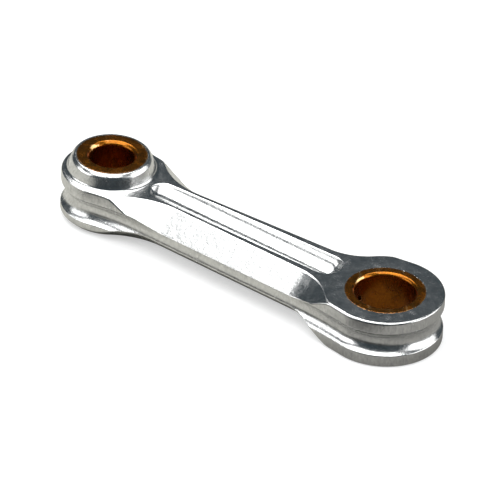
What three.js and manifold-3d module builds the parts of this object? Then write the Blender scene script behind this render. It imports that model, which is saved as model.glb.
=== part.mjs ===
// Connecting rod of a small two-stroke engine: a one-piece aluminium rod with knife-edge flanks, a
// lightening slot in each broad face and a bronze bush pressed into each end.
// Millimetres, +Z up along the pin axes, +X from the wrist-pin end to the crankpin end. The rod lies on
// its flat underside, with the origin under the middle of its bounding box.
import * as THREE from "three";
import { mergeVertices } from "three/addons/utils/BufferGeometryUtils.js";
import Module from "manifold-3d";

// ---- Driving dimensions -------------------------------------------------------------------------

const CENTRE_DISTANCE = 45; // wrist-pin axis to crankpin axis
const PLATE_THICKNESS = 6.8; // over the two broad faces

const CRANKPIN_BORE = 8;
const BIG_BUSH_WALL = 1.3;
const BIG_BUSH_CHAMFER = 0.3;
const BIG_END_WALL = 2.55; // aluminium outside the bush

const WRIST_PIN_BORE = 6;
const SMALL_BUSH_WALL = 1.7;
const SMALL_BUSH_CHAMFER = 0.4;
const SMALL_END_WALL = 2;

const BOSS_HEIGHT = 2.2; // wrist-pin boss above the upper broad face
const BOSS_WALL = 0.58; // aluminium outside the bush, on the boss's face
const BOSS_FLANK_SPREAD = 0.7; // gained by the flank's radius on its way down
const BOSS_FOOT_FILLET = 0.45;

const EDGE_CHAMFER = 0.2; // round the broad faces and the boss
const BOSS_CHAMFER_DEPTH = 0.35;
const PRESS_CLEARANCE = 0.02; // between a bush and its housing, on the radius

const GROOVE_RADIUS = 2; // concave groove round the whole edge, at half thickness
const GROOVE_DEPTH = 0.95;

const BIG_END_SHOULDER = 0.65; // from the shank's edge line out to the circle, level with the axis
const SMALL_END_SHOULDER = 1.05;
const BIG_END_FLARE_RADIUS = 60;
const SMALL_END_FLARE_RADIUS = 28;

const KNIFE_EDGE_HEIGHT = 1.55; // what the bevels leave of the thickness at the edge
const RIB_WIDTH = 0.8; // flat left between a slot and a bevel, half way along
const BEVEL_BIG_END_RADIUS = 7.8; // of the bevel's hollow run-out, on the broad face
const BEVEL_SMALL_END_RADIUS = 11;
const BEVEL_BIG_END_CLEARANCE = 0.3; // between its edge and the circle that it wraps round
const BEVEL_SMALL_END_CLEARANCE = 0.45;
const BEVEL_WRAP_ANGLE = THREE.MathUtils.degToRad(75);
const SMALL_END_LOWER_BEVEL = 0.85; // bite of the lower bevels, which go right round the wrist-pin eye

const SLOT_CUTTER_RADIUS = 2.2; // ball-nose cutter of the lightening slots
const SLOT_BIG_END_DEPTH = 1.75;
const SLOT_SMALL_END_DEPTH = 0.9;
const SLOT_BIG_END_WALL = 2.1; // between a slot's end and the bush housing
const SLOT_BOSS_GAP = 0.4; // between a slot's end and the foot of the boss's flank

const OIL_HOLE_DIAMETER = 0.9;
const OIL_HOLE_EXIT_RISE = 0.3; // in the crankpin bore, above half thickness
const OIL_HOLE_ENTRY_HEIGHT = 1.4; // where its axis meets the end of the lower slot
const OIL_HOLE_ENTRY_SETBACK = 0.4; // that point, short of the slot cutter's last centre

// ---- Fineness of the facets ---------------------------------------------------------------------

const ROUND_SEGMENTS = 72;
const GROOVE_STEPS = 8;
const FLARE_STEPS = 6;
const FILLET_STEPS = 4;
const SLOT_SEGMENTS = 36;
const DRILL_SEGMENTS = 16;
const WRAP_STEPS = 12;
const TURN_STEPS = 10;

// ---- Derived sizes and places -------------------------------------------------------------------

const BIG_BUSH_RADIUS = CRANKPIN_BORE / 2 + BIG_BUSH_WALL;
const SMALL_BUSH_RADIUS = WRIST_PIN_BORE / 2 + SMALL_BUSH_WALL;
const BIG_END_RADIUS = BIG_BUSH_RADIUS + BIG_END_WALL;
const SMALL_END_RADIUS = SMALL_BUSH_RADIUS + SMALL_END_WALL;
const BOSS_FACE_RADIUS = SMALL_BUSH_RADIUS + BOSS_WALL;
const BOSS_FOOT_RADIUS = BOSS_FACE_RADIUS + BOSS_FLANK_SPREAD;
const BIG_END_X = (CENTRE_DISTANCE + SMALL_END_RADIUS - BIG_END_RADIUS) / 2;
const SMALL_END_X = BIG_END_X - CENTRE_DISTANCE;
const SHANK_MIDDLE_X = (BIG_END_X + SMALL_END_X) / 2;
const MIDDLE_Z = PLATE_THICKNESS / 2;
const BOSS_TOP = PLATE_THICKNESS + BOSS_HEIGHT;
const WRAP_OVERLAP = THREE.MathUtils.degToRad(2); // of two bevels that meet at the rod's end
const OVERCUT = 0.6; // how far a cutter runs past the face that it cuts

// The blank's straight edge lines, met by the circles' flares.
const BIG_END_HALF_WIDTH = BIG_END_RADIUS - BIG_END_SHOULDER;
const SMALL_END_HALF_WIDTH = SMALL_END_RADIUS - SMALL_END_SHOULDER;
const BLANK_HALF_WIDTH = (BIG_END_HALF_WIDTH + SMALL_END_HALF_WIDTH) / 2;
const SHANK_TAPER = (BIG_END_HALF_WIDTH - SMALL_END_HALF_WIDTH) / CENTRE_DISTANCE;
const SLOPE = Math.atan(SHANK_TAPER);

// The knife edge lies on the groove's hollow, a little outside the groove's deepest line.
const KNIFE_EDGE_SAG = GROOVE_RADIUS - Math.sqrt(GROOVE_RADIUS ** 2 - (KNIFE_EDGE_HEIGHT / 2) ** 2);
const KNIFE_EDGE_HALF_WIDTH = BLANK_HALF_WIDTH - GROOVE_DEPTH + KNIFE_EDGE_SAG;
const SLOT_MIDDLE_DEPTH = (SLOT_BIG_END_DEPTH + SLOT_SMALL_END_DEPTH) / 2;
const SLOT_SINK = SLOT_CUTTER_RADIUS - SLOT_MIDDLE_DEPTH;
const FLAT_HALF_WIDTH = Math.sqrt(SLOT_CUTTER_RADIUS ** 2 - SLOT_SINK ** 2) + RIB_WIDTH;
const BEVEL_DEPTH = (PLATE_THICKNESS - KNIFE_EDGE_HEIGHT) / 2;
const BEVEL_RUN = (KNIFE_EDGE_HALF_WIDTH - FLAT_HALF_WIDTH) / BEVEL_DEPTH; // outwards for each mm down
const SLOT_BIG_END_STOP = BIG_BUSH_RADIUS + SLOT_BIG_END_WALL + SLOT_CUTTER_RADIUS;
const SLOT_SMALL_END_STOP = BOSS_FOOT_RADIUS + SLOT_BOSS_GAP + SLOT_CUTTER_RADIUS;

const ALUMINIUM = { color: 0xb9bcbc, roughness: 0.2, metalness: 1 };
const BRONZE = { color: 0x8a5a26, roughness: 0.35, metalness: 1 };

// ---- Solids -------------------------------------------------------------------------------------

const wasm = await Module();
wasm.setup();

// A three.js geometry as a manifold-3d solid.
function solidOf(geometry) {
  const plain = geometry.index ? geometry.toNonIndexed() : geometry.clone();
  plain.deleteAttribute("normal");
  plain.deleteAttribute("uv");
  const merged = mergeVertices(plain, 1e-4);
  const vertProperties = new Float32Array(merged.attributes.position.array);
  const triVerts = new Uint32Array(merged.index.array);
  return new wasm.Manifold(new wasm.Mesh({ numProp: 3, vertProperties, triVerts }));
}

// A manifold-3d solid as a named three.js mesh.
function meshOf(name, solid, finish) {
  const { vertProperties, triVerts } = solid.getMesh();
  const geometry = new THREE.BufferGeometry();
  geometry.setAttribute("position", new THREE.BufferAttribute(vertProperties, 3));
  geometry.setIndex(new THREE.BufferAttribute(triVerts, 1));
  geometry.computeVertexNormals();
  const mesh = new THREE.Mesh(geometry, new THREE.MeshStandardMaterial(finish));
  mesh.name = name;
  return mesh;
}

// A solid turned about the vertical line through x, from [radius, height] points that run upwards on
// the outside and start and end on that line, or come back to their start.
function turned(x, profile) {
  const points = profile.map(([radius, height]) => new THREE.Vector2(radius, height));
  const geometry = new THREE.LatheGeometry(points, ROUND_SEGMENTS);
  geometry.rotateX(Math.PI / 2);
  geometry.translate(x, 0, 0);
  return solidOf(geometry);
}

// A solid with level floors: outlines[i] is its plan at heights[i], and all plans have as many points,
// counter-clockwise.
function stacked(outlines, heights) {
  const count = outlines[0].length;
  const positions = outlines.flatMap((outline, i) => outline.flatMap((p) => [p.x, p.y, heights[i]]));
  const indices = [];
  for (let level = 0; level + 1 < heights.length; level++) {
    for (let i = 0; i < count; i++) {
      const a = level * count + i;
      const b = level * count + ((i + 1) % count);
      indices.push(a, b, b + count, a, b + count, a + count);
    }
  }
  const top = (heights.length - 1) * count;
  for (const [a, b, c] of THREE.ShapeUtils.triangulateShape(outlines[0], [])) indices.push(a, c, b);
  for (const [a, b, c] of THREE.ShapeUtils.triangulateShape(outlines.at(-1), [])) {
    indices.push(top + a, top + b, top + c);
  }
  const geometry = new THREE.BufferGeometry();
  geometry.setAttribute("position", new THREE.Float32BufferAttribute(positions, 3));
  geometry.setIndex(indices);
  return solidOf(geometry);
}

// The points of an arc about a centre, from one angle to another, both ends included.
function arc(centre, radius, from, to, steps) {
  const points = [];
  for (let i = 0; i <= steps; i++) {
    const angle = from + ((to - from) * i) / steps;
    points.push(new THREE.Vector2(Math.cos(angle), Math.sin(angle)).multiplyScalar(radius).add(centre));
  }
  return points;
}

// ---- Rod: the grooved blank ---------------------------------------------------------------------

// The arc that flares the +Y edge line of the blank into the circle of one end. side is 1 for the
// crankpin end and -1 for the wrist-pin end.
function flare(endX, endRadius, flareRadius, side) {
  const along = new THREE.Vector2(Math.cos(SLOPE), Math.sin(SLOPE));
  const outward = new THREE.Vector2(-along.y, along.x);
  const middle = new THREE.Vector2(SHANK_MIDDLE_X, BLANK_HALF_WIDTH);
  const end = new THREE.Vector2(endX, 0);
  const toEnd = end.clone().sub(middle);
  const gap = flareRadius - toEnd.dot(outward);
  const reach = Math.sqrt((endRadius + flareRadius) ** 2 - gap ** 2);
  const centre = middle
    .clone()
    .addScaledVector(along, toEnd.dot(along) - side * reach)
    .addScaledVector(outward, flareRadius);
  return { end, centre, touch: centre.clone().sub(end).angle(), endRadius, flareRadius };
}

const BIG_FLARE = flare(BIG_END_X, BIG_END_RADIUS, BIG_END_FLARE_RADIUS, 1);
const SMALL_FLARE = flare(SMALL_END_X, SMALL_END_RADIUS, SMALL_END_FLARE_RADIUS, -1);

// The blank's plan, moved inwards by inset.
function blankOutline(inset) {
  const steps = (angle) => Math.round((ROUND_SEGMENTS * angle) / (2 * Math.PI));
  const edge = SLOPE - Math.PI / 2; // from a flare's centre straight to the edge line
  const big = BIG_FLARE;
  const small = SMALL_FLARE;
  const upper = [
    ...arc(big.end, big.endRadius - inset, 0, big.touch, steps(big.touch)),
    ...arc(big.centre, big.flareRadius + inset, big.touch - Math.PI, edge, FLARE_STEPS).slice(1),
    ...arc(small.centre, small.flareRadius + inset, edge, small.touch - Math.PI, FLARE_STEPS),
    ...arc(small.end, small.endRadius - inset, small.touch, Math.PI, steps(Math.PI - small.touch)).slice(1),
  ];
  const lower = upper.slice(1, -1).map((p) => new THREE.Vector2(p.x, -p.y));
  return [...upper, ...lower.reverse()];
}

function makeBlank() {
  // Each level is [inset, height].
  const levels = [
    [EDGE_CHAMFER, 0],
    [0, EDGE_CHAMFER],
  ];
  const halfOpening = Math.sqrt(GROOVE_RADIUS ** 2 - (GROOVE_RADIUS - GROOVE_DEPTH) ** 2);
  const reach = Math.asin(halfOpening / GROOVE_RADIUS);
  for (let i = 0; i <= GROOVE_STEPS; i++) {
    const angle = reach * ((2 * i) / GROOVE_STEPS - 1);
    const inset = GROOVE_RADIUS * Math.cos(angle) - (GROOVE_RADIUS - GROOVE_DEPTH);
    levels.push([Math.max(inset, 0), MIDDLE_Z + GROOVE_RADIUS * Math.sin(angle)]);
  }
  levels.push([0, PLATE_THICKNESS - EDGE_CHAMFER], [EDGE_CHAMFER, PLATE_THICKNESS]);
  return stacked(levels.map(([inset]) => blankOutline(inset)), levels.map(([, height]) => height));
}

// ---- Rod: boss, cutters and holes ---------------------------------------------------------------

function makeBoss() {
  const face = BOSS_FACE_RADIUS;
  const footRadius = BOSS_FOOT_RADIUS + BOSS_FOOT_FILLET;
  const filletCentre = new THREE.Vector2(footRadius, PLATE_THICKNESS + BOSS_FOOT_FILLET);
  const fillet = arc(filletCentre, BOSS_FOOT_FILLET, -Math.PI / 2, -Math.PI, FILLET_STEPS);
  return turned(SMALL_END_X, [
    [0, PLATE_THICKNESS - BOSS_FOOT_FILLET],
    [footRadius, PLATE_THICKNESS - BOSS_FOOT_FILLET],
    ...fillet.map((p) => [p.x, p.y]),
    [face, BOSS_TOP - BOSS_CHAMFER_DEPTH],
    [face - EDGE_CHAMFER, BOSS_TOP],
    [0, BOSS_TOP],
  ]);
}

// What the bevel takes away along one side of the shank above half thickness. Its edge runs straight along
// the flat, sweeps out in a hollow towards each eye and wraps round that eye's circle.
function makeBevelCutter(smallClearance, smallWrap) {
  const along = new THREE.Vector2(Math.cos(SLOPE), Math.sin(SLOPE));
  const outward = new THREE.Vector2(-along.y, along.x);
  const flatEdge = new THREE.Vector2(SHANK_MIDDLE_X, FLAT_HALF_WIDTH);
  // Where the hollow's centre is as far from the flat's edge as from the circle that it wraps round.
  const turnAt = (endX, wrapped, hollow, side) => {
    const end = new THREE.Vector2(endX, 0);
    const gap = flatEdge.clone().sub(end).dot(outward) + hollow;
    const distance = wrapped + hollow;
    const turn = end
      .clone()
      .addScaledVector(outward, gap)
      .addScaledVector(along, -side * Math.sqrt(distance ** 2 - gap ** 2));
    return { end, hollow, distance, turn, angle: turn.clone().sub(end).angle() };
  };
  const smallCircle = SMALL_END_RADIUS + smallClearance;
  const bigCircle = BIG_END_RADIUS + BEVEL_BIG_END_CLEARANCE;
  const small = turnAt(SMALL_END_X, smallCircle, BEVEL_SMALL_END_RADIUS, -1);
  const big = turnAt(BIG_END_X, bigCircle, BEVEL_BIG_END_RADIUS, 1);
  const across = SLOPE + 1.5 * Math.PI; // from a hollow's centre straight to the flat's edge
  const smallStart = Math.min(small.angle + smallWrap, Math.PI + WRAP_OVERLAP);
  const bigStop = big.angle - BEVEL_WRAP_ANGLE;
  const outlineAt = (height) => {
    const run = (PLATE_THICKNESS - height) * BEVEL_RUN;
    return [
      ...arc(small.end, smallCircle + run, smallStart, small.angle, WRAP_STEPS),
      ...arc(small.turn, small.hollow - run, small.angle + Math.PI, across, TURN_STEPS).slice(1),
      ...arc(big.turn, big.hollow - run, across, big.angle + Math.PI, TURN_STEPS),
      ...arc(big.end, bigCircle + run, big.angle, bigStop, WRAP_STEPS).slice(1),
      ...arc(big.end, big.distance, bigStop, big.angle, WRAP_STEPS),
      ...arc(small.end, small.distance, small.angle, smallStart, WRAP_STEPS),
    ];
  };
  const heights = [MIDDLE_Z, PLATE_THICKNESS + OVERCUT];
  return stacked(heights.map(outlineAt), heights);
}

// What the ball-nose cutter takes away from the upper face, sinking in towards the crankpin end.
function makeSlotCutter() {
  const centreAt = (x, depth) => {
    return new THREE.Vector3(x, 0, PLATE_THICKNESS + SLOT_CUTTER_RADIUS - depth);
  };
  const start = centreAt(SMALL_END_X + SLOT_SMALL_END_STOP, SLOT_SMALL_END_DEPTH);
  const stop = centreAt(BIG_END_X - SLOT_BIG_END_STOP, SLOT_BIG_END_DEPTH);
  const path = new THREE.Vector3().subVectors(stop, start);
  const geometry = new THREE.CapsuleGeometry(
    SLOT_CUTTER_RADIUS,
    path.length(),
    SLOT_SEGMENTS / 4,
    SLOT_SEGMENTS,
  );
  geometry.rotateZ(-Math.PI / 2);
  geometry.rotateY(Math.atan2(-path.z, path.x));
  const middle = start.clone().lerp(stop, 0.5);
  geometry.translate(middle.x, middle.y, middle.z);
  return solidOf(geometry);
}

// The slanting hole from the end of the lower slot into the crankpin bore.
function makeOilDrill() {
  const entryX = BIG_END_X - SLOT_BIG_END_STOP - OIL_HOLE_ENTRY_SETBACK;
  const entry = new THREE.Vector3(entryX, 0, OIL_HOLE_ENTRY_HEIGHT);
  const exit = new THREE.Vector3(BIG_END_X - CRANKPIN_BORE / 2, 0, MIDDLE_Z + OIL_HOLE_EXIT_RISE);
  const path = new THREE.Vector3().subVectors(exit, entry);
  const radius = OIL_HOLE_DIAMETER / 2;
  const length = path.length() + 2 * OVERCUT;
  const geometry = new THREE.CylinderGeometry(radius, radius, length, DRILL_SEGMENTS);
  geometry.rotateZ(-Math.PI / 2);
  geometry.rotateY(Math.atan2(-path.z, path.x));
  const middle = entry.clone().lerp(exit, 0.5);
  geometry.translate(middle.x, middle.y, middle.z);
  return solidOf(geometry);
}

// The bore that takes a bush, with the press clearance.
function makeHousingCutter(x, bushRadius) {
  const radius = bushRadius + PRESS_CLEARANCE;
  return turned(x, [
    [0, -OVERCUT],
    [radius, -OVERCUT],
    [radius, BOSS_TOP + OVERCUT],
    [0, BOSS_TOP + OVERCUT],
  ]);
}

// A copy of a solid turned over about the rod's long axis at half thickness, so that it works on the
// lower face.
const turnedOver = (solid) => solid.mirror([0, 0, 1]).translate([0, 0, PLATE_THICKNESS]);
const otherSide = (solid) => solid.mirror([0, 1, 0]);

function makeRod(oilDrill) {
  const upperBevel = makeBevelCutter(BEVEL_SMALL_END_CLEARANCE, BEVEL_WRAP_ANGLE);
  const lowerBevel = turnedOver(makeBevelCutter(-SMALL_END_LOWER_BEVEL, Math.PI));
  const slot = makeSlotCutter();
  const cutters = [
    upperBevel,
    otherSide(upperBevel),
    lowerBevel,
    otherSide(lowerBevel),
    slot,
    turnedOver(slot),
    makeHousingCutter(BIG_END_X, BIG_BUSH_RADIUS),
    makeHousingCutter(SMALL_END_X, SMALL_BUSH_RADIUS),
    oilDrill,
  ];
  return cutters.reduce((rod, cutter) => rod.subtract(cutter), makeBlank().add(makeBoss()));
}

// ---- Bushes -------------------------------------------------------------------------------------

function makeBush(x, bore, wall, chamfer, bottom, top) {
  const inner = bore / 2;
  const outer = inner + wall;
  return turned(x, [
    [inner + chamfer, bottom],
    [outer, bottom],
    [outer, top],
    [inner + chamfer, top],
    [inner, top - chamfer],
    [inner, bottom + chamfer],
    [inner + chamfer, bottom],
  ]);
}

// ---- Assembly -----------------------------------------------------------------------------------

const oilDrill = makeOilDrill();
const bigBush = makeBush(BIG_END_X, CRANKPIN_BORE, BIG_BUSH_WALL, BIG_BUSH_CHAMFER, 0, PLATE_THICKNESS);
const smallBush = makeBush(
  SMALL_END_X,
  WRIST_PIN_BORE,
  SMALL_BUSH_WALL,
  SMALL_BUSH_CHAMFER,
  0,
  BOSS_TOP,
);

const connectingRod = new THREE.Group();
connectingRod.add(
  meshOf("rod_body", makeRod(oilDrill), ALUMINIUM),
  meshOf("crankpin_bush", bigBush.subtract(oilDrill), BRONZE),
  meshOf("wrist_pin_bush", smallBush, BRONZE),
);

export default connectingRod;
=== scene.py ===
"""Connecting rod of a small engine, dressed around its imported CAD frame.

The rod is one aluminium body with knife-edged flanks, a lightening slot in each broad face and a bronze
bush in each eye. Every shape here is a signed distance in millimetres that is negative inside the metal.
A SurfaceNet turns it into a fine mesh with true edge radii, which rides on the frame in metres.
"""

import logging
import math
from dataclasses import dataclass
from enum import Enum
from typing import Callable

import bpy
import numpy as np
from mathutils import Matrix, Vector


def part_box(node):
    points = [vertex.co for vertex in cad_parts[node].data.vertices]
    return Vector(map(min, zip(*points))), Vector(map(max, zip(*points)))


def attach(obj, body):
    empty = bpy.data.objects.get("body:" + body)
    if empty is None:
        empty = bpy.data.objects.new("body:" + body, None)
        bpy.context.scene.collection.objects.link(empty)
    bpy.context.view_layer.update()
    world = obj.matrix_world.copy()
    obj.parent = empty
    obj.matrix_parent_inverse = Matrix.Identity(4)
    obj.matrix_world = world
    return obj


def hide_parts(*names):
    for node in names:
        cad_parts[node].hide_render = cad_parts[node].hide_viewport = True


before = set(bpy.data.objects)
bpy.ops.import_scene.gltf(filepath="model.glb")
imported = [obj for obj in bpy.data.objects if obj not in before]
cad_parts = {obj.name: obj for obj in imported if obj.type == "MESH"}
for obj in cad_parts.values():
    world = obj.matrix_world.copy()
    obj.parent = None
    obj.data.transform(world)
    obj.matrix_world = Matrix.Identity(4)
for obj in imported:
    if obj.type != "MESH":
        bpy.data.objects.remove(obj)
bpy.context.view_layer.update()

MM = 0.001
LOG = logging.getLogger("connecting_rod")

Array = np.ndarray
Field = Callable[[Array, Array, Array], Array]
Colour = tuple[float, float, float, float]
Socket = bpy.types.NodeSocket
Sockets = dict[str, Socket]

# The corners of a grid cell, as steps along each axis from its lowest one.
CELL_CORNERS = [(i, j, k) for i in (0, 1) for j in (0, 1) for k in (0, 1)]

# The colour Mix node's sockets. Its other kinds share their names, so they go by number.
MIX_SHARE, MIX_A, MIX_B, MIX_RESULT = 0, 6, 7, 2

# Walls of the bushes and the chamfers of their bores, in millimetres.
CRANKPIN_BUSH_WALL = 1.3
CRANKPIN_BUSH_CHAMFER = 0.3
WRIST_PIN_BUSH_WALL = 1.7
WRIST_PIN_BUSH_CHAMFER = 0.4

# Radius of the slots' ball-nose cutter, and the metal between a slot and the crankpin bush.
SLOT_RADIUS = 2.2
SLOT_WALL = 2.1


class Slot(Enum):
    """The record's material slots."""

    ALUMINIUM = "rod_aluminium"
    BRONZE = "bush_bronze"


# ---- Distances ----------------------------------------------------------------------------------


def meet(a: Array, b: Array, radius: float) -> Array:
    """Intersects two distances, with the outer edge between them rounded.

    Args:
        a: Distance to the first solid.
        b: Distance to the second solid.
        radius: Radius of the rounded edge.

    Returns:
        The distance to what the two solids share.
    """
    sharp = np.minimum(np.maximum(a, b), -radius)
    return sharp + np.hypot(np.maximum(a + radius, 0), np.maximum(b + radius, 0))


def cut(a: Array, b: Array, radius: float) -> Array:
    """Takes solid b away from solid a, with the edge between them rounded by radius."""
    return meet(a, -b, radius)


def join(a: Array, b: Array, radius: float) -> Array:
    """Joins two distances, with the inner corner between them filleted by radius."""
    return -meet(-a, -b, radius)


@dataclass(frozen=True)
class Outline:
    """A plan with a round eye at each end and a tapering shank, swept into the eyes by hollows.

    Attributes:
        small_x: Axis of the wrist-pin eye.
        big_x: Axis of the crankpin eye.
        small_radius: Radius of the plan round the wrist-pin eye.
        big_radius: Radius of the plan round the crankpin eye.
        small_half: Half width of the straight edge lines, level with the wrist-pin axis.
        big_half: Half width of the straight edge lines, level with the crankpin axis.
        small_hollow: Radius of the hollow that sweeps into the wrist-pin eye.
        big_hollow: Radius of the hollow that sweeps into the crankpin eye.
    """

    small_x: float
    big_x: float
    small_radius: float
    big_radius: float
    small_half: float
    big_half: float
    small_hollow: float
    big_hollow: float

    def distance(self, x: Array, y: Array) -> Array:
        """Measures how far points of the plan are from its edge.

        Args:
            x: Places along the rod.
            y: Places across the rod.

        Returns:
            Signed distances, negative inside the plan.
        """
        # Both edges are alike, so only the +Y one is measured. It is a straight line that gives way to
        # a hollow past the hollow's foot, and to the eye past the place where hollow and eye touch.
        y = np.abs(y)
        slope = math.atan2(self.big_half - self.small_half, self.big_x - self.small_x)
        along = np.array([math.cos(slope), math.sin(slope)])
        outward = np.array([-along[1], along[0]])
        edge = (x - self.small_x) * outward[0] + (y - self.small_half) * outward[1]
        eyes = (
            (self.small_x, self.small_radius, self.small_hollow, -1),
            (self.big_x, self.big_radius, self.big_hollow, 1),
        )
        for eye_x, radius, hollow, side in eyes:
            gap = hollow + (self.small_x - eye_x) * outward[0] + self.small_half * outward[1]
            reach = math.sqrt((radius + hollow) ** 2 - gap**2)
            centre = np.array([eye_x, 0.0]) + gap * outward - side * reach * along
            to_eye = np.array([eye_x, 0.0]) - centre
            vx, vy = x - centre[0], y - centre[1]
            past_foot = side * (-outward[0] * vy + outward[1] * vx) > 0
            past_touch = side * (to_eye[0] * vy - to_eye[1] * vx) > 0
            in_hollow = hollow - np.hypot(vx, vy)
            in_eye = np.hypot(x - eye_x, y) - radius
            edge = np.where(past_foot, np.where(past_touch, in_eye, in_hollow), edge)
        return edge


@dataclass(frozen=True)
class Trough:
    """The path of a ball-nose cutter: a straight run between two centres in the rod's middle plane.

    Attributes:
        start: Place along the rod and height of the first centre.
        stop: Place along the rod and height of the last centre.
        radius: Radius of the cutter.
    """

    start: tuple[float, float]
    stop: tuple[float, float]
    radius: float

    def distance(self, x: Array, y: Array, z: Array) -> Array:
        """Measures how far points are from the metal that the cutter removes.

        Args:
            x: Places along the rod.
            y: Places across the rod.
            z: Heights above the underside.

        Returns:
            Signed distances, negative inside the trough.
        """
        (ax, az), (bx, bz) = self.start, self.stop
        length = (bx - ax) ** 2 + (bz - az) ** 2
        share = np.clip(((x - ax) * (bx - ax) + (z - az) * (bz - az)) / length, 0, 1)
        across = np.hypot(x - ax - share * (bx - ax), y)
        return np.hypot(across, z - az - share * (bz - az)) - self.radius


# ---- Fine meshes --------------------------------------------------------------------------------


@dataclass(frozen=True)
class SurfaceNet:
    """Meshes a signed distance with even quads that are then drawn on to its zero surface.

    Attributes:
        step: Side of a grid cell.
        settle_rounds: How often each point is moved along the gradient.
        probe: Offset of the finite differences that give the gradient.
        least_square: Least squared steepness that a move is divided by.
        least_length: Least length that a normal is divided by.
    """

    step: float
    settle_rounds: int = 3
    probe: float = 0.004
    least_square: float = 0.25
    least_length: float = 1e-9

    @property
    def margin(self) -> float:
        """Room to leave between a solid and the box that it is meshed in."""
        return 3 * self.step

    def gradient(self, field: Field, points: Array) -> Array:
        """Measures the gradient of a distance.

        Args:
            field: The signed distance.
            points: Rows of x, y and z.

        Returns:
            One gradient to a row.
        """
        sides = []
        for axis in range(3):
            offset = np.zeros(3)
            offset[axis] = self.probe
            ahead, behind = (points + offset).T, (points - offset).T
            sides.append((field(*ahead) - field(*behind)) / (2 * self.probe))
        return np.stack(sides, axis=1)

    def settle(self, field: Field, points: Array) -> Array:
        """Moves points on to the zero surface.

        Args:
            field: Signed distance to mesh.
            points: Rows of x, y and z close to the surface.

        Returns:
            The moved points.
        """
        for _ in range(self.settle_rounds):
            slope = self.gradient(field, points)
            steep = np.maximum((slope**2).sum(1, keepdims=True), self.least_square)
            move = field(*points.T)[:, None] * slope / steep
            points = points - np.clip(move, -self.step, self.step)
        return points

    def normals(self, field: Field, points: Array) -> Array:
        """Returns the unit normals of field at each row of points."""
        slope = self.gradient(field, points)
        return slope / np.maximum(np.linalg.norm(slope, axis=1, keepdims=True), self.least_length)

    @staticmethod
    def centres(values: Array, cells: Array) -> Array:
        """Averages the places where the surface crosses the edges of each cell.

        Args:
            values: Distances at the nodes of the grid.
            cells: Rows of the indices of the cells that the surface passes through.

        Returns:
            One place to a row, in cells from the grid's lowest corner.
        """
        at_corner = {c: values[tuple((cells + c).T)] for c in CELL_CORNERS}
        total, count = np.zeros((len(cells), 3)), np.zeros(len(cells))
        for c in CELL_CORNERS:
            for axis in range(3):
                if c[axis]:
                    continue
                other = tuple(v + (i == axis) for i, v in enumerate(c))
                a, b = at_corner[c], at_corner[other]
                crossed = (a < 0) != (b < 0)
                share = np.where(crossed, a / np.where(crossed, a - b, 1), 0)
                place = np.tile(np.array(c, float), (len(cells), 1))
                place[:, axis] += share
                total += place * crossed[:, None]
                count += crossed
        return cells + total / count[:, None]

    @staticmethod
    def quads(inside: Array, number: Array) -> Array:
        """Joins the four cells round each grid edge that the surface crosses.

        Args:
            inside: Which nodes of the grid lie in the solid.
            number: The number of each cell's point, by the cell's indices.

        Returns:
            Rows of four point numbers, wound to face outwards.
        """
        quads = []
        for axis in range(3):
            ahead = np.take(inside, range(1, inside.shape[axis]), axis)
            behind = np.take(inside, range(inside.shape[axis] - 1), axis)
            at = np.argwhere(ahead != behind)
            leaving = behind[tuple(at.T)]
            one, two = np.eye(3, dtype=int)[(axis + 1) % 3], np.eye(3, dtype=int)[(axis + 2) % 3]
            ring = [number[tuple((at - o).T)] for o in (0 * one, one, one + two, two)]
            ring = np.stack(ring, axis=1)
            quads.append(np.where(leaving[:, None], ring, ring[:, ::-1]))
        return np.concatenate(quads)

    def build(self, field: Field, shading: Field, low: Array, high: Array) -> tuple[Array, Array, Array]:
        """Meshes the zero surface of field inside a box.

        Args:
            field: Signed distance to mesh.
            shading: Signed distance whose gradient gives the normals.
            low: Lowest corner of the box, clear of the solid.
            high: Highest corner of the box, clear of the solid.

        Returns:
            Vertices, outward normals and quads.
        """
        ticks = [np.arange(low[i], high[i] + self.step, self.step, dtype=np.float32) for i in range(3)]
        x, y, z = np.meshgrid(*ticks, indexing="ij", sparse=True)
        values = field(x, y, z).astype(np.float32)
        inside = values < 0
        nx, ny, nz = (n - 1 for n in values.shape)
        filled = np.zeros((nx, ny, nz), np.int8)
        for i, j, k in CELL_CORNERS:
            filled += inside[i : nx + i, j : ny + j, k : nz + k]
        cells = np.argwhere((filled > 0) & (filled < len(CELL_CORNERS)))
        number = np.full(filled.shape, -1, np.int64)
        number[tuple(cells.T)] = np.arange(len(cells))
        corner = np.array([t[0] for t in ticks], float)
        points = self.settle(field, self.centres(values, cells) * self.step + corner)
        return points, self.normals(shading, points), self.quads(inside, number)


def make_piece(
    name: str, field: Field, shading: Field, net: SurfaceNet, low: Array, high: Array
) -> bpy.types.Object:
    """Makes a Blender object of the zero surface of a distance.

    Args:
        name: Name of the piece.
        field: Signed distance in millimetres.
        shading: Distance whose gradient gives the normals.
        net: Mesher that sets the fineness.
        low: Lowest corner of the box to mesh, in millimetres.
        high: Highest corner of the box to mesh, in millimetres.

    Returns:
        The new object, in metres and in the frame.
    """
    points, normals, quads = net.build(field, shading, low, high)
    mesh = bpy.data.meshes.new(name)
    mesh.vertices.add(len(points))
    mesh.vertices.foreach_set("co", (points * MM).astype(np.float32).ravel())
    mesh.loops.add(quads.size)
    mesh.loops.foreach_set("vertex_index", quads.astype(np.int32).ravel())
    mesh.polygons.add(len(quads))
    mesh.polygons.foreach_set("loop_start", np.arange(0, quads.size, 4, dtype=np.int32))
    mesh.update(calc_edges=True)
    mesh.validate()
    mesh.shade_smooth()
    mesh.normals_split_custom_set_from_vertices(normals.tolist())
    piece = bpy.data.objects.new(name, mesh)
    bpy.context.scene.collection.objects.link(piece)
    return piece


# ---- Finishes -----------------------------------------------------------------------------------


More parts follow.
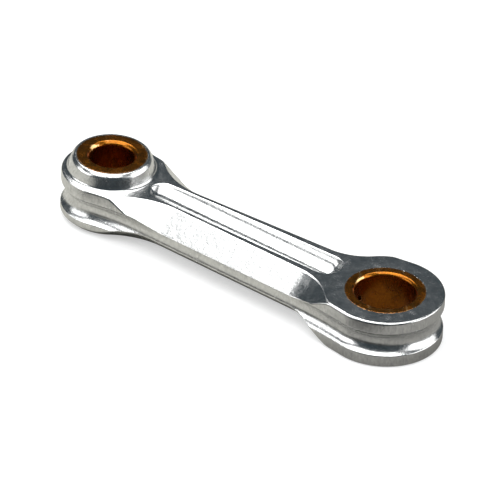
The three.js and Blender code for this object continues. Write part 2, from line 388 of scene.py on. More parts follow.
class NodeSketch:
    """Short ways to place and wire nodes in one node tree."""

    def __init__(self, tree: bpy.types.NodeTree) -> None:
        """Keeps the tree that the nodes go in."""
        self.tree = tree

    def add(self, kind: str, **settings: object) -> bpy.types.Node:
        """Adds a node.

        Args:
            kind: Blender's name of the node type.
            **settings: Attributes of the node and then values of its inputs, by name, with an
                underscore for each space.

        Returns:
            The new node.
        """
        node = self.tree.nodes.new(kind)
        for key, value in settings.items():
            if hasattr(node, key):
                setattr(node, key, value)
            else:
                node.inputs[key.replace("_", " ")].default_value = value
        return node

    def link(self, source: Socket, target: Socket) -> None:
        """Wires one socket to another."""
        self.tree.links.new(source, target)

    def feed(self, target: Socket, value: Socket | Colour | float) -> None:
        """Gives an input its value.

        Args:
            target: The input.
            value: A socket to wire to it, or a number or colour to set on it.
        """
        if isinstance(value, Socket):
            self.link(value, target)
        else:
            target.default_value = value

    def math(self, operation: str, a: Socket | float, b: Socket | float, clamp: bool = False) -> Socket:
        """Adds a Math node.

        Args:
            operation: Blender's name of the operation.
            a: The first operand.
            b: The second operand.
            clamp: Whether the result is kept between 0 and 1.

        Returns:
            The node's output.
        """
        node = self.add("ShaderNodeMath", operation=operation, use_clamp=clamp)
        self.feed(node.inputs[0], a)
        self.feed(node.inputs[1], b)
        return node.outputs[0]

    def mix(self, share: Socket, a: Socket | Colour, b: Socket | Colour) -> Socket:
        """Adds a colour Mix node.

        Args:
            share: How much of b is taken, from 0 to 1.
            a: The first colour.
            b: The second colour.

        Returns:
            The mixed colour.
        """
        node = self.add("ShaderNodeMix", data_type="RGBA")
        for number, value in ((MIX_SHARE, share), (MIX_A, a), (MIX_B, b)):
            self.feed(node.inputs[number], value)
        return node.outputs[MIX_RESULT]


def colour(red: float, green: float, blue: float) -> Colour:
    """Returns an opaque colour."""
    return (red, green, blue, 1.0)


@dataclass(frozen=True)
class GroupRecipe:
    """The values that the shared node groups hold for every finish.

    Attributes:
        coarse_scale: Scale of the grain's coarse part against its fine part.
        coarse_weight: Height of the coarse part against the fine part.
        noise_middle: Level that the fine noise varies round.
        speckle_level: Share of staining where the fine noise is at its middle.
        patina_gain: How fast the patina thickens past its onset.
    """

    coarse_scale: float = 0.17
    coarse_weight: float = 1.4
    noise_middle: float = 0.5
    speckle_level: float = 0.4
    patina_gain: float = 4.0


class GroupKit:
    """The shader node groups that the finishes share, each made once."""

    def __init__(self, recipe: GroupRecipe) -> None:
        """Builds the shared groups.

        Args:
            recipe: The values that they hold for every finish.
        """
        self.recipe = recipe
        self.grain = self.build_grain()
        self.wear = self.build_wear()
        self.patina = self.build_patina()

    @staticmethod
    def start(
        name: str, takes: dict[str, str], gives: dict[str, str]
    ) -> tuple[NodeSketch, Sockets, Sockets]:
        """Starts a group with named inputs and outputs.

        Args:
            name: Name of the group.
            takes: Kind of each input, by name.
            gives: Kind of each output, by name.

        Returns:
            A sketch of the group, the sockets that it takes and those that it gives, by name.
        """
        tree = bpy.data.node_groups.new(name, "ShaderNodeTree")
        for way, sockets in (("INPUT", takes), ("OUTPUT", gives)):
            for label, kind in sockets.items():
                tree.interface.new_socket(label, in_out=way, socket_type=f"NodeSocket{kind}")
        nodes = NodeSketch(tree)
        taken, given = nodes.add("NodeGroupInput"), nodes.add("NodeGroupOutput")
        return nodes, {s.name: s for s in taken.outputs}, {s.name: s for s in given.inputs}

    def build_grain(self) -> bpy.types.NodeTree:
        """Builds the fine, slightly drawn-out grain that machining and polishing leave.

        Returns:
            The group.
        """
        nodes, taken, given = self.start(
            "machined_grain",
            {
                "Vector": "Vector",
                "Scale": "Float",
                "Stretch": "Float",
                "Upright": "Float",
                "Contrast": "Float",
            },
            {"Height": "Float", "Tone": "Float", "Speckle": "Float"},
        )
        recipe = self.recipe
        axes = nodes.add("ShaderNodeCombineXYZ", Y=1.0)
        nodes.link(taken["Stretch"], axes.inputs["X"])
        nodes.link(taken["Upright"], axes.inputs["Z"])
        drawn = nodes.add("ShaderNodeVectorMath", operation="MULTIPLY")
        nodes.link(taken["Vector"], drawn.inputs[0])
        nodes.link(axes.outputs[0], drawn.inputs[1])
        fine = nodes.add("ShaderNodeTexNoise", Detail=3.0, Roughness=0.62)
        nodes.link(drawn.outputs[0], fine.inputs["Vector"])
        nodes.link(taken["Scale"], fine.inputs["Scale"])
        coarse = nodes.add("ShaderNodeTexNoise", Detail=2.0, Roughness=0.5)
        nodes.link(taken["Vector"], coarse.inputs["Vector"])
        nodes.link(nodes.math("MULTIPLY", taken["Scale"], recipe.coarse_scale), coarse.inputs["Scale"])
        swell = nodes.math("MULTIPLY", coarse.outputs[0], recipe.coarse_weight)
        nodes.link(nodes.math("ADD", fine.outputs[0], swell), given["Height"])
        nodes.link(coarse.outputs[0], given["Tone"])
        swing = nodes.math("SUBTRACT", fine.outputs[0], recipe.noise_middle)
        speckle = nodes.math("MULTIPLY", swing, taken["Contrast"])
        nodes.link(nodes.math("ADD", speckle, recipe.speckle_level, clamp=True), given["Speckle"])
        return nodes.tree

    def build_wear(self) -> bpy.types.NodeTree:
        """Builds the mask of edges that handling has brightened.

        Returns:
            The group.
        """
        nodes, taken, given = self.start(
            "edge_wear",
            {"Pointiness": "Float", "Onset": "Float", "Gain": "Float"},
            {"Mask": "Float"},
        )
        rise = nodes.math("SUBTRACT", taken["Pointiness"], taken["Onset"])
        nodes.link(nodes.math("MULTIPLY", rise, taken["Gain"], clamp=True), given["Mask"])
        return nodes.tree

    def build_patina(self) -> bpy.types.NodeTree:
        """Builds the soft, cloudy mask of oil film and staining.

        Returns:
            The group.
        """
        nodes, taken, given = self.start(
            "patina",
            {"Vector": "Vector", "Scale": "Float", "Onset": "Float"},
            {"Mask": "Float"},
        )
        cloud = nodes.add("ShaderNodeTexNoise", Detail=5.0, Roughness=0.6, Distortion=0.6)
        nodes.link(taken["Vector"], cloud.inputs["Vector"])
        nodes.link(taken["Scale"], cloud.inputs["Scale"])
        rise = nodes.math("SUBTRACT", cloud.outputs[0], taken["Onset"])
        nodes.link(nodes.math("MULTIPLY", rise, self.recipe.patina_gain, clamp=True), given["Mask"])
        return nodes.tree


@dataclass(frozen=True)
class MetalFinish:
    """A machined metal: its colour, how it shines, its grain, its worn edges and its patina.

    Attributes:
        name: Name of the material.
        slot: The record's slot that it is meant for; not used.
        base: Colour of the clean metal.
        stained: Colour under the patina.
        worn: Colour of the brightened edges.
        roughness: Least roughness.
        roughness_spread: Roughness that the grain's tone adds.
        grain_scale: Fineness of the grain, per metre.
        grain_stretch: Scale of the grain along the rod; under 1 draws it out.
        grain_upright: Scale of the grain up the walls; under 1 draws it out.
        grain_depth: Depth of the grain, in metres.
        grain_contrast: How strongly the grain speckles the colour.
        patina_scale: Fineness of the patina, per metre.
        patina_onset: Level of the clouds at which staining starts.
        patina_share: How far the thickest patina takes the colour to stained.
        wear_onset: Pointiness at which wear starts.
        wear_gain: How fast wear grows from there.
        stain_roughness_share: Roughness that the thickest patina adds, as a share of roughness_spread.
        oil_film: Weight of the clear film of oil on top.
        oil_roughness: Roughness of that film.
    """

    name: str
    slot: Slot
    base: Colour
    stained: Colour
    worn: Colour
    roughness: float
    roughness_spread: float
    grain_scale: float
    grain_stretch: float
    grain_upright: float
    grain_depth: float
    grain_contrast: float
    patina_scale: float
    patina_onset: float
    patina_share: float
    wear_onset: float = 0.52
    wear_gain: float = 14.0
    stain_roughness_share: float = 0.5
    oil_film: float = 0.0
    oil_roughness: float = 0.12

    def material(self, kit: GroupKit) -> bpy.types.Material:
        """Builds the material from the shared groups.

        Args:
            kit: The shared node groups.

        Returns:
            The finished material.
        """
        made = bpy.data.materials.new(self.name)
        made.use_nodes = True
        made.node_tree.nodes.clear()
        nodes = NodeSketch(made.node_tree)
        place = nodes.add("ShaderNodeTexCoord").outputs["Object"]
        shader = nodes.add(
            "ShaderNodeBsdfPrincipled",
            Metallic=1.0,
            Coat_Weight=self.oil_film,
            Coat_Roughness=self.oil_roughness,
        )
        nodes.link(shader.outputs[0], nodes.add("ShaderNodeOutputMaterial").inputs["Surface"])

        grain = nodes.add(
            "ShaderNodeGroup",
            node_tree=kit.grain,
            Scale=self.grain_scale,
            Stretch=self.grain_stretch,
            Upright=self.grain_upright,
            Contrast=self.grain_contrast,
        )
        nodes.link(place, grain.inputs["Vector"])
        patina = nodes.add(
            "ShaderNodeGroup",
            node_tree=kit.patina,
            Scale=self.patina_scale,
            Onset=self.patina_onset,
        )
        nodes.link(place, patina.inputs["Vector"])
        wear = nodes.add(
            "ShaderNodeGroup",
            node_tree=kit.wear,
            Onset=self.wear_onset,
            Gain=self.wear_gain,
        )
        nodes.link(nodes.add("ShaderNodeNewGeometry").outputs["Pointiness"], wear.inputs["Pointiness"])

        clouded = nodes.math("MULTIPLY", patina.outputs["Mask"], self.patina_share)
        share = nodes.math("ADD", grain.outputs["Speckle"], clouded, clamp=True)
        tinted = nodes.mix(share, self.base, self.stained)
        nodes.link(nodes.mix(wear.outputs["Mask"], tinted, self.worn), shader.inputs["Base Color"])
        rough = nodes.math("MULTIPLY", grain.outputs["Tone"], self.roughness_spread)
        stain_spread = self.roughness_spread * self.stain_roughness_share
        stain_rough = nodes.math("MULTIPLY", patina.outputs["Mask"], stain_spread)
        rough = nodes.math("ADD", nodes.math("ADD", rough, stain_rough), self.roughness)
        nodes.link(rough, shader.inputs["Roughness"])
        bump = nodes.add("ShaderNodeBump", Strength=1.0, Distance=self.grain_depth)
        nodes.link(grain.outputs["Height"], bump.inputs["Height"])
        nodes.link(bump.outputs[0], shader.inputs["Normal"])
        return made

    def dress(self, piece: bpy.types.Object, kit: GroupKit) -> None:
        """Gives a piece this finish.

        Args:
            piece: The piece to dress.
            kit: The shared node groups.
        """
        piece.data.materials.clear()
        piece.data.materials.append(bpy.data.materials.get(self.name) or self.material(kit))


ROD_FINISH = MetalFinish(
    name="polished_aluminium",
    slot=Slot.ALUMINIUM,
    base=colour(0.90, 0.90, 0.89),
    stained=colour(0.46, 0.47, 0.47),
    worn=colour(0.88, 0.88, 0.87),
    roughness=0.12,
    roughness_spread=0.17,
    grain_scale=5200.0,
    grain_stretch=0.6,
    grain_upright=0.3,
    grain_depth=0.00001,
    grain_contrast=1.7,
    patina_scale=350.0,
    patina_onset=0.5,
    patina_share=0.15,
)

BUSH_FINISH = MetalFinish(
    name="darkened_bronze",
    slot=Slot.BRONZE,
    base=colour(0.58, 0.20, 0.010),
    stained=colour(0.17, 0.045, 0.002),
    worn=colour(0.85, 0.54, 0.24),
    roughness=0.13,
    roughness_spread=0.18,
    grain_scale=6000.0,
    grain_stretch=1.0,
    grain_upright=0.5,
    grain_depth=0.000005,
    grain_contrast=1.4,
    patina_scale=500.0,
    patina_onset=0.42,
    patina_share=0.3,
    oil_film=0.25,
)


# ---- Sub-assemblies -----------------------------------------------------------------------------


@dataclass(frozen=True)
class Layout:
    """Places and sizes that every piece shares, in millimetres, read from the frame.

    Attributes:
        small_x: Axis of the wrist-pin eye.
        big_x: Axis of the crankpin eye.
        small_radius: Outer radius of the wrist-pin eye.
        big_radius: Outer radius of the crankpin eye.
        small_bush: Outer radius of the wrist-pin bush.
        big_bush: Outer radius of the crankpin bush.
        plate: Thickness over the broad faces.
        boss_top: Height of the wrist-pin boss above the underside.
    """

    small_x: float
    big_x: float
    small_radius: float
    big_radius: float
    small_bush: float
    big_bush: float
    plate: float
    boss_top: float

    @classmethod
    def from_frame(cls) -> "Layout":
        """Reads the layout from the boxes of the CAD nodes.

        Returns:
            The layout, in millimetres.
        """
        rod_low, rod_high = (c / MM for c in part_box("rod_body"))
        big_low, big_high = (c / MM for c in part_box("crankpin_bush"))
        small_low, small_high = (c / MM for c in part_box("wrist_pin_bush"))
        big_x, small_x = (big_low.x + big_high.x) / 2, (small_low.x + small_high.x) / 2
        return cls(
            small_x=small_x,
            big_x=big_x,
            small_radius=small_x - rod_low.x,
            big_radius=rod_high.x - big_x,
            small_bush=(small_high.x - small_low.x) / 2,
            big_bush=(big_high.x - big_low.x) / 2,
            plate=big_high.z,
            boss_top=small_high.z,
        )

    @property
    def middle(self) -> float:
        """Half the plate's thickness."""
        return self.plate / 2

    @property
    def slot_stop(self) -> float:
        """Where the slot cutter's centre stops, short of the crankpin bush."""
        return self.big_x - self.big_bush - SLOT_WALL - SLOT_RADIUS


@dataclass(frozen=True)
class OilHole:
    """The slanting oil hole from the lower slot's end into the crankpin bore.

    Attributes:
        layout: The rod's places and sizes.
        before_stop: How far before the slot cutter's last centre the drill starts.
        start_height: Height that the drill starts at, inside the lower slot.
        above_middle: How far above the rod's middle it reaches the bore's wall.
        radius: Its radius.
        overrun: How far the drill goes on into the bore.
    """

    layout: Layout
    before_stop: float = 0.4
    start_height: float = 1.4
    above_middle: float = 0.3
    radius: float = 0.45
    overrun: float = 1.5

    def distance(self, x: Array, y: Array, z: Array) -> Array:
        """Measures how far points are from the metal that the drill removes.

        Args:
            x: Places along the rod.
            y: Places across the rod.
            z: Heights above the underside.

        Returns:
            Signed distances, negative inside the drilled hole.
        """
        lay = self.layout
        bore = lay.big_bush - CRANKPIN_BUSH_WALL
        ax, az = lay.slot_stop - self.before_stop, self.start_height
        bx, bz = lay.big_x - bore, lay.middle + self.above_middle
        length = math.hypot(bx - ax, bz - az)
        ux, uz = (bx - ax) / length, (bz - az) / length
        along = (x - ax) * ux + (z - az) * uz
        aside = (z - az) * ux - (x - ax) * uz
        ends = np.maximum(-along, along - length - self.overrun)
        return np.maximum(np.hypot(aside, y) - self.radius, ends)


@dataclass(frozen=True)
class RodBody:
    """The aluminium rod: grooved blank, bevels, boss, slots, bush housings and oil hole.

    Sizes in pairs are for the wrist-pin end and then the crankpin end, except for the boss's chamfer.

    Attributes:
        layout: The places and sizes that the pieces share.
        oil_hole: The oil hole.
        finish: The finish that dresses it.
        shoulders: How far the blank's straight edge lines lie inside each eye's radius.
        flares: Radii of the hollows that sweep the blank into its eyes.
        groove_radius: Radius of the groove round the edge.
        groove_depth: Depth of that groove.
        knife_height: Height of the knife edge that the bevels leave.
        rib: Width of the rib between a slot and the bevel beside it.
        hollows: Radii of the bevels' run-outs at the eyes.
        upper_clearances: How far outside each eye the upper bevels wrap round it.
        lower_clearances: The same of the lower bevels; under 0 is inside the eye.
        slot_depths: Depths of the slots' ends.
        slot_boss_gap: Gap between the foot of the boss and the slot beside it.
        boss_wall: Width of the boss's face round the bush.
        boss_spread: How much wider than its face the boss is at its foot.
        boss_fillet: Radius of the fillet round that foot.
        boss_chamfer: The chamfer round the boss's face, across and down.
        chamfer: Chamfer of the blank's edges.
        edge_radius: Radius of every edge that has none of its own.
        slot_edge_radius: Radius of the slots' edges.
        bevel_edge_radius: Radius of the bevels' edges.
        housing_edge_radius: Radius of the edges that the bushes sit in.
        net: The mesher.
    """

    layout: Layout
    oil_hole: OilHole
    finish: MetalFinish = ROD_FINISH
    shoulders: tuple[float, float] = (1.05, 0.65)
    flares: tuple[float, float] = (28.0, 60.0)
    groove_radius: float = 2.0
    groove_depth: float = 0.95
    knife_height: float = 1.55
    rib: float = 0.8
    hollows: tuple[float, float] = (11.0, 7.8)
    upper_clearances: tuple[float, float] = (0.45, 0.3)
    lower_clearances: tuple[float, float] = (-0.85, 0.3)
    slot_depths: tuple[float, float] = (0.9, 1.75)
    slot_boss_gap: float = 0.4
    boss_wall: float = 0.58
    boss_spread: float = 0.7
    boss_fillet: float = 0.45
    boss_chamfer: tuple[float, float] = (0.26, 0.28)
    chamfer: float = 0.17
    edge_radius: float = 0.08
    slot_edge_radius: float = 0.15
    bevel_edge_radius: float = 0.12
    housing_edge_radius: float = 0.02
    net: SurfaceNet = SurfaceNet(step=0.12)

    def blank_outline(self) -> Outline:
        """Makes the plan of the blank before the groove and the bevels.

        Returns:
            The plan.
        """
        lay = self.layout
        return Outline(
            lay.small_x,
            lay.big_x,
            lay.small_radius,
            lay.big_radius,
            lay.small_radius - self.shoulders[0],
            lay.big_radius - self.shoulders[1],
            *self.flares,
        )

    def flat_outline(self, clearances: tuple[float, float]) -> Outline:
        """Makes the plan of a broad face as the bevels leave it.

        Args:
            clearances: How far outside each eye's circle the bevel's edge wraps round it.

        Returns:
            The plan at the height of the face.
        """
        lay, blank = self.layout, self.blank_outline()
        sink = SLOT_RADIUS - sum(self.slot_depths) / 2
        flat = math.sqrt(SLOT_RADIUS**2 - sink**2) + self.rib
        drift = (blank.big_half - blank.small_half) / 2
        return Outline(
            lay.small_x,
            lay.big_x,
            lay.small_radius + clearances[0],
            lay.big_radius + clearances[1],
            flat - drift,
            flat + drift,
            *self.hollows,
        )

    def bevel_run(self) -> float:
        """Works out the bevels' slant from the widths of the broad face and of the knife edge.

        Returns:
            How far a bevel goes outwards for each millimetre down.
        """
        blank, flat = self.blank_outline(), self.flat_outline(self.upper_clearances)
        sag = self.groove_radius - math.sqrt(self.groove_radius**2 - (self.knife_height / 2) ** 2)
        knife = (blank.small_half + blank.big_half) / 2 - self.groove_depth + sag
        depth = (self.layout.plate - self.knife_height) / 2
        return (knife - (flat.small_half + flat.big_half) / 2) / depth

    def bevelled(
        self, solid: Array, x: Array, y: Array, depth: Array, clearances: tuple[float, float]
    ) -> Array:
        """Bevels both long edges of one broad face.

        Args:
            solid: Distance to the metal so far.
            x: Places along the rod.
            y: Places across the rod.
            depth: Depths below that face.
            clearances: How far outside each eye's circle the bevel's edge wraps round it.

        Returns:
            The distance to the bevelled metal.
        """
        run = self.bevel_run()
        slope = self.flat_outline(clearances).distance(x, y) - depth * run
        return meet(solid, slope / math.hypot(1, run), self.bevel_edge_radius)

    def boss(self, x: Array, y: Array, z: Array) -> Array:
        """Measures how far points are from the wrist-pin boss, which starts just inside the plate.

        Args:
            x: Places along the rod.
            y: Places across the rod.
            z: Heights above the underside.

        Returns:
            Signed distances, negative inside the boss.
        """
        lay = self.layout
        face = lay.small_bush + self.boss_wall
        height = lay.boss_top - lay.plate
        lean = self.boss_spread / height
        out = np.hypot(x - lay.small_x, y)
        flank = (out - face - (lay.boss_top - z) * lean) / math.hypot(1, lean)
        across, down = self.boss_chamfer
        bevel = ((out - face) * down + (z - lay.boss_top + down) * across) / math.hypot(across, down)
        boss = meet(flank, bevel, self.edge_radius)
        boss = meet(boss, z - lay.boss_top, self.edge_radius)
        return np.maximum(boss, lay.plate - self.boss_fillet - z)

    def slot(self, turned_over: bool) -> Trough:
        """Lays out the lightening slot of one broad face.

        Args:
            turned_over: Whether it is the lower face's slot.

        Returns:
            The path of its cutter.
        """
        lay = self.layout
        foot = lay.small_bush + self.boss_wall + self.boss_spread
        start = lay.small_x + foot + self.slot_boss_gap + SLOT_RADIUS
        heights = [lay.plate + SLOT_RADIUS - depth for depth in self.slot_depths]
        if turned_over:
            heights = [lay.plate - height for height in heights]
        return Trough((start, heights[0]), (lay.slot_stop, heights[1]), SLOT_RADIUS)

    def unhoused_distance(self, x: Array, y: Array, z: Array) -> Array:
        """Measures how far points are from the rod's surface before its bush housings are bored.

        Args:
            x: Places along the rod.
            y: Places across the rod.
            z: Heights above the underside.

        Returns:
            Signed distances, negative inside the metal.
        """
        lay = self.layout
        plan = self.blank_outline().distance(x, y)
        faces = np.abs(z - lay.middle) - lay.middle
        bevel = (plan + faces + self.chamfer) / math.sqrt(2)
        rod = meet(meet(plan, bevel, self.edge_radius), faces, self.edge_radius)
        hollow_at = self.groove_radius - self.groove_depth
        groove = np.hypot(plan - hollow_at, z - lay.middle) - self.groove_radius
        rod = cut(rod, groove, self.edge_radius)
        rod = self.bevelled(rod, x, y, lay.plate - z, self.upper_clearances)
        rod = self.bevelled(rod, x, y, z, self.lower_clearances)
        rod = join(rod, self.boss(x, y, z), self.boss_fillet)
        for turned_over in (False, True):
            rod = cut(rod, self.slot(turned_over).distance(x, y, z), self.slot_edge_radius)
        return cut(rod, self.oil_hole.distance(x, y, z), self.edge_radius)

    def distance(self, x: Array, y: Array, z: Array) -> Array:
        """Measures how far points are from the rod's surface.

        Args:
            x: Places along the rod.
            y: Places across the rod.
            z: Heights above the underside.

        Returns:
            Signed distances, negative inside the metal.
        """
        lay = self.layout
        rod = self.unhoused_distance(x, y, z)
        for eye_x, radius in ((lay.big_x, lay.big_bush), (lay.small_x, lay.small_bush)):
            rod = cut(rod, np.hypot(x - eye_x, y) - radius, self.housing_edge_radius)
        return rod

    def build(self, kit: GroupKit) -> bpy.types.Object:
        """Builds and dresses the rod in place of its CAD node.

        The housings have no part in the shading, so that each bush meets the rod without a bright seam.

        Args:
            kit: The shared node groups.

        Returns:
            The rod.
        """
        lay, margin = self.layout, self.net.margin
        low = np.array([lay.small_x - lay.small_radius, -lay.big_radius, 0.0]) - margin
        high = np.array([lay.big_x + lay.big_radius, lay.big_radius, lay.boss_top]) + margin
        rod = make_piece("rod_body_fine", self.distance, self.unhoused_distance, self.net, low, high)
        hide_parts("rod_body")
        self.finish.dress(rod, kit)
        return rod


@dataclass(frozen=True)
class Bush:
    """A bronze bush with a chamfer at each end of its bore.

    Attributes:
        name: Name of the piece.
        node: CAD node that it stands for.
        axis_x: Its axis.
        outer: Its outer radius.
        wall: Thickness of its wall.
        top: Height of its upper face; the lower face is level with the underside.
        chamfer: Size of the chamfer at each end of the bore.
        oil_hole: The oil hole that opens into it, if one does.
        finish: The finish that dresses it.
        press: Interference of the press fit, on the radius.
        proud: How far its faces stand out of the rod's.
        edge_radius: Radius of its outer edges and of the oil hole's.
        mouth_radius: Radius of the edge between chamfer and bore.
        net: The mesher.
    """

    name: str
    node: str
    axis_x: float
    outer: float
    wall: float
    top: float
    chamfer: float
    oil_hole: OilHole | None = None
    finish: MetalFinish = BUSH_FINISH
    press: float = 0.05
    proud: float = 0.01
    edge_radius: float = 0.025
    mouth_radius: float = 0.12
    net: SurfaceNet = SurfaceNet(step=0.1)

    def unturned_distance(self, x: Array, y: Array, z: Array) -> Array:
        """Measures how far points are from the bored metal before the bush's outside is turned.

        Args:
            x: Places along the rod.
            y: Places across the rod.
            z: Heights above the underside.

        Returns:
            Signed distances, negative inside the bronze.
        """
        out = np.hypot(x - self.axis_x, y)
        bore = self.outer - self.wall
        faces = np.abs(z - self.top / 2) - self.top / 2 - self.proud
        mouth = (bore + self.chamfer - out + faces) / math.sqrt(2)
        bush = meet(faces, mouth, self.mouth_radius / 2)
        bush = meet(bush, bore - out, self.mouth_radius)
        if self.oil_hole:
            bush = cut(bush, self.oil_hole.distance(x, y, z), self.edge_radius)
        return bush

    def distance(self, x: Array, y: Array, z: Array) -> Array:
        """Returns signed distances to the bush, negative inside the bronze."""
        outside = np.hypot(x - self.axis_x, y) - self.outer - self.press
        return meet(self.unturned_distance(x, y, z), outside, self.edge_radius)

    def build(self, kit: GroupKit) -> bpy.types.Object:
        """Builds and dresses the bush in place of its CAD node.

        Its turned outside has no part in the shading, so that its faces meet the rod without a seam.

        Args:
            kit: The shared node groups.

        Returns:
            The bush.
        """
        margin = self.net.margin
        low = np.array([self.axis_x - self.outer, -self.outer, 0.0]) - margin
        high = np.array([self.axis_x + self.outer, self.outer, self.top]) + margin
        bush = make_piece(self.name, self.distance, self.unturned_distance, self.net, low, high)
        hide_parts(self.node)
        self.finish.dress(bush, kit)
        return bush


# ---- Studio -------------------------------------------------------------------------------------


@dataclass(frozen=True)
class Softbox:
    """A rectangular soft light.

    Attributes:
        name: Name of the light.
        azimuth: Direction round the rod in degrees, 0 on +X and 90 on +Y.
        elevation: Height above the horizon in degrees.
        distance: Distance from the rod in metres.
        width: Side across, in metres.
        height: Side up and down, in metres.
        radiance: Brightness of its face.
        level_turn: Heading in degrees of a light that lies level; None for one that faces the rod.
    """

    name: str
    azimuth: float
    elevation: float
    distance: float
    width: float
    height: float
    radiance: float
    level_turn: float | None = None

    def build(self) -> bpy.types.Object:
        """Builds the light where its direction and distance put it.

        Returns:
            The light.
        """
        data = bpy.data.lights.new(self.name, "AREA")
        data.shape = "RECTANGLE"
        data.size, data.size_y = self.width, self.height
        data.energy = self.radiance * self.width * self.height * math.pi
        light = bpy.data.objects.new(self.name, data)
        bpy.context.scene.collection.objects.link(light)
        turn, rise = math.radians(self.azimuth), math.radians(self.elevation)
        away = Vector((math.cos(turn) * math.cos(rise), math.sin(turn) * math.cos(rise), math.sin(rise)))
        light.location = away * self.distance
        if self.level_turn is None:
            light.rotation_euler = away.to_track_quat("Z", "Y").to_euler()
        else:
            light.rotation_euler = (0.0, 0.0, math.radians(self.level_turn))
        return light


@dataclass(frozen=True)
class Studio:
    """The pale floor, the soft lights and the dim room round them.

    The painted reflection colours are painted reflections and painted shade: only the polished metal's
    reflections and the floor's bounced light see them, darkest in front of the rod and darker towards
    +X, while the camera sees the floor evenly pale. The places where one gives way to the next are in
    metres from the floor's middle.

    Attributes:
        softboxes: The lights.
        floor_size: Side of the floor, in metres.
        floor_drop: How far the floor lies below the rod, in metres.
        room_colour: Colour of the room.
        floor_colour: Colour of the floor as it is seen.
        painted_reflection_colour: Painted reflection of the floor under the rod and behind it.
        right_painted_reflection_colour: The same painted reflection, darker, towards +X.
        front_painted_shade_colour: Painted shade, a dark painted reflection in front of the rod, towards
            -Y.
        floor_lift: Glow of the floor as it is seen.
        front_start: Place across the rod where the front starts.
        front_end: Place across the rod from which the floor is all front.
        left_start: Place along the rod up to which there is no front.
        left_end: Place along the rod where the front has its full strength.
        right_start: Place along the rod where the right-hand side starts.
        right_end: Place along the rod from which the floor is all right-hand side.
    """

    softboxes: tuple[Softbox, ...]
    floor_size: float = 6.0
    floor_drop: float = 0.00003
    room_colour: Colour = colour(0.040, 0.053, 0.062)
    floor_colour: Colour = colour(0.56, 0.56, 0.56)
    # Painted reflections and painted shade: floor colours that only reflections and bounced light see.
    painted_reflection_colour: Colour = colour(0.46, 0.45, 0.41)
    right_painted_reflection_colour: Colour = colour(0.24, 0.235, 0.22)
    front_painted_shade_colour: Colour = colour(0.04, 0.04, 0.04)
    floor_lift: float = 0.48
    front_start: float = -0.012
    front_end: float = -0.020
    left_start: float = -0.042
    left_end: float = -0.030
    right_start: float = 0.006
    right_end: float = 0.022

    @staticmethod
    def ramp(nodes: NodeSketch, value: Socket, start: float, end: float) -> Socket:
        """Adds a smooth step from 0 at start to 1 at end.

        Args:
            nodes: Sketch of the node tree.
            value: What the step follows.
            start: Value that gives 0.
            end: Value that gives 1.

        Returns:
            The step's output.
        """
        step = nodes.add(
            "ShaderNodeMapRange",
            interpolation_type="SMOOTHSTEP",
            From_Min=start,
            From_Max=end,
        )
        nodes.link(value, step.inputs["Value"])
        return step.outputs[0]

    def floor_paint(self) -> bpy.types.Material:
        """Makes the floor's material, which is clear from below.

        Returns:
            The material.
        """
        paint = bpy.data.materials.new("pale_floor")
        paint.use_nodes = True
        paint.node_tree.nodes.clear()
        nodes = NodeSketch(paint.node_tree)
        seen = nodes.add("ShaderNodeLightPath").outputs["Is Camera Ray"]
        place = nodes.add("ShaderNodeSeparateXYZ")
        nodes.link(nodes.add("ShaderNodeTexCoord").outputs["Object"], place.inputs[0])
        # Painted shade: the floor that reflections see is darkest in front of the rod and darker towards
        # +X.
        front = self.ramp(nodes, place.outputs["Y"], self.front_start, self.front_end)
        inward = self.ramp(nodes, place.outputs["X"], self.left_start, self.left_end)
        right = self.ramp(nodes, place.outputs["X"], self.right_start, self.right_end)
        near_painted_reflection = nodes.mix(right, self.painted_reflection_colour, self.right_painted_reflection_colour)
        painted_reflection = nodes.mix(nodes.math("MULTIPLY", front, inward), near_painted_reflection, self.front_painted_shade_colour)
        surface = nodes.add("ShaderNodeBsdfDiffuse")
        # The camera sees the even pale floor_colour; every other ray sees the painted reflection colours.
        nodes.link(nodes.mix(seen, painted_reflection, self.floor_colour), surface.inputs["Color"])
        lift = nodes.add("ShaderNodeEmission", Color=colour(1, 1, 1))
        nodes.link(nodes.math("MULTIPLY", seen, self.floor_lift), lift.inputs["Strength"])
        lifted = nodes.add("ShaderNodeAddShader")
        nodes.link(surface.outputs[0], lifted.inputs[0])
        nodes.link(lift.outputs[0], lifted.inputs[1])
        sided = nodes.add("ShaderNodeMixShader")
        nodes.link(nodes.add("ShaderNodeNewGeometry").outputs["Backfacing"], sided.inputs[0])
        nodes.link(lifted.outputs[0], sided.inputs[1])
        nodes.link(nodes.add("ShaderNodeBsdfTransparent").outputs[0], sided.inputs[2])
        nodes.link(sided.outputs[0], nodes.add("ShaderNodeOutputMaterial").inputs["Surface"])
        return paint

    def build_floor(self) -> bpy.types.Object:
        """Lays the floor under the rod.

        Returns:
            The floor.
        """
        half = self.floor_size / 2
        mesh = bpy.data.meshes.new("floor")
        corners = [(-half, -half, 0), (half, -half, 0), (half, half, 0), (-half, half, 0)]
        mesh.from_pydata(corners, [], [(0, 1, 2, 3)])
        mesh.materials.append(self.floor_paint())
        floor = bpy.data.objects.new("floor", mesh)
        floor.location.z = -self.floor_drop
        bpy.context.scene.collection.objects.link(floor)
        return floor

    def build_room(self) -> None:
        """Sets the dim room that the polished faces mirror."""
        world = bpy.data.worlds.new("room")
        world.use_nodes = True
        world.node_tree.nodes["Background"].inputs["Color"].default_value = self.room_colour
        bpy.context.scene.world = world

    def build(self) -> None:
        """Builds the whole studio."""
        self.build_floor()
        self.build_room()
        for softbox in self.softboxes:
            softbox.build()
        bpy.context.scene.view_settings.view_transform = "Standard"


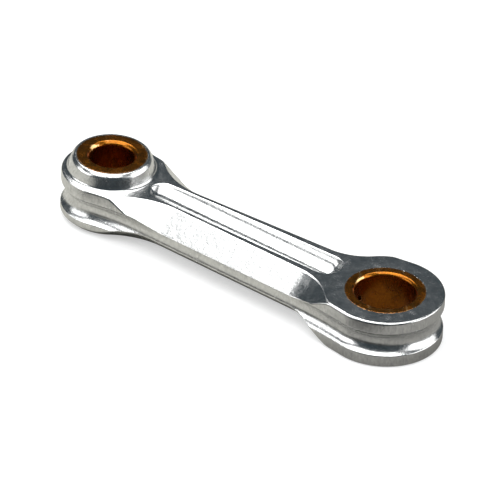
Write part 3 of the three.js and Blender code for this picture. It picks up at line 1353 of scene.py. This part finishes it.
@dataclass(frozen=True)
class Viewpoint:
    """The camera, on a long lens.

    Attributes:
        azimuth: Degrees round the rod from -Y towards +X.
        elevation: Degrees above the horizon.
        roll: Degrees that the camera leans anticlockwise.
        distance: Distance from the point between the two eyes, in metres.
        lens: Focal length in millimetres.
        sensor: Width of the sensor in millimetres.
        aside: How far the camera's line passes to the right of that point, in metres.
        clip: Nearest and farthest distance that it sees, in metres.
    """

    azimuth: float = 35.141
    elevation: float = 33.323
    roll: float = 3.007
    distance: float = 0.92246
    lens: float = 504.0
    sensor: float = 36.0
    aside: float = 0.000557
    clip: tuple[float, float] = (0.05, 20.0)

    def build(self, layout: Layout) -> bpy.types.Object:
        """Builds the camera.

        Args:
            layout: The rod's places, which give the point to aim at.

        Returns:
            The camera, made active.
        """
        turn, rise, lean = (math.radians(a) for a in (self.azimuth, self.elevation, self.roll))
        back = Vector((math.cos(rise) * math.sin(turn), -math.cos(rise) * math.cos(turn), math.sin(rise)))
        level = Vector((0, 0, 1)).cross(back).normalized()
        upright = back.cross(level)
        right = level * math.cos(lean) + upright * math.sin(lean)
        up = upright * math.cos(lean) - level * math.sin(lean)
        aim = Vector(((layout.small_x + layout.big_x) / 2, 0, layout.middle)) * MM + right * self.aside
        data = bpy.data.cameras.new("camera")
        data.lens, data.sensor_width = self.lens, self.sensor
        data.clip_start, data.clip_end = self.clip
        camera = bpy.data.objects.new("camera", data)
        bpy.context.scene.collection.objects.link(camera)
        turned = Matrix((right, up, back)).transposed().to_4x4()
        camera.matrix_world = Matrix.Translation(aim + back * self.distance) @ turned
        bpy.context.scene.camera = camera
        return camera


# ---- Assembly -----------------------------------------------------------------------------------


def main() -> None:
    """Builds every sub-assembly in order and sets the studio."""
    logging.basicConfig(level=logging.INFO, format="%(name)s: %(message)s")
    layout = Layout.from_frame()
    Viewpoint().build(layout)
    kit = GroupKit(GroupRecipe())
    oil_hole = OilHole(layout)
    parts = (
        RodBody(layout, oil_hole),
        Bush(
            name="crankpin_bush_fine",
            node="crankpin_bush",
            axis_x=layout.big_x,
            outer=layout.big_bush,
            wall=CRANKPIN_BUSH_WALL,
            top=layout.plate,
            chamfer=CRANKPIN_BUSH_CHAMFER,
            oil_hole=oil_hole,
        ),
        Bush(
            name="wrist_pin_bush_fine",
            node="wrist_pin_bush",
            axis_x=layout.small_x,
            outer=layout.small_bush,
            wall=WRIST_PIN_BUSH_WALL,
            top=layout.boss_top,
            chamfer=WRIST_PIN_BUSH_CHAMFER,
        ),
    )
    for part in parts:
        piece = part.build(kit)
        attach(piece, "root")
        LOG.info("%s: %d quads, %s", piece.name, len(piece.data.polygons), part.finish.name)
    overhead = Softbox(
        name="overhead",
        azimuth=232.5,
        elevation=74.2,
        distance=1.039,
        width=1.42,
        height=1.50,
        radiance=2.9,
        level_turn=-55,
    )
    key = Softbox(
        name="key",
        azimuth=153,
        elevation=58,
        distance=1.2,
        width=0.5,
        height=0.5,
        radiance=3.5,
    )
    left_side = Softbox(
        name="left_side",
        azimuth=226,
        elevation=18,
        distance=1.2,
        width=0.92,
        height=0.51,
        radiance=2.3,
    )
    right_side = Softbox(
        name="right_side",
        azimuth=30,
        elevation=25,
        distance=1.2,
        width=1.35,
        height=0.87,
        radiance=2.0,
    )
    Studio(softboxes=(overhead, key, left_side, right_side)).build()


if __name__ == "__main__":
    main()
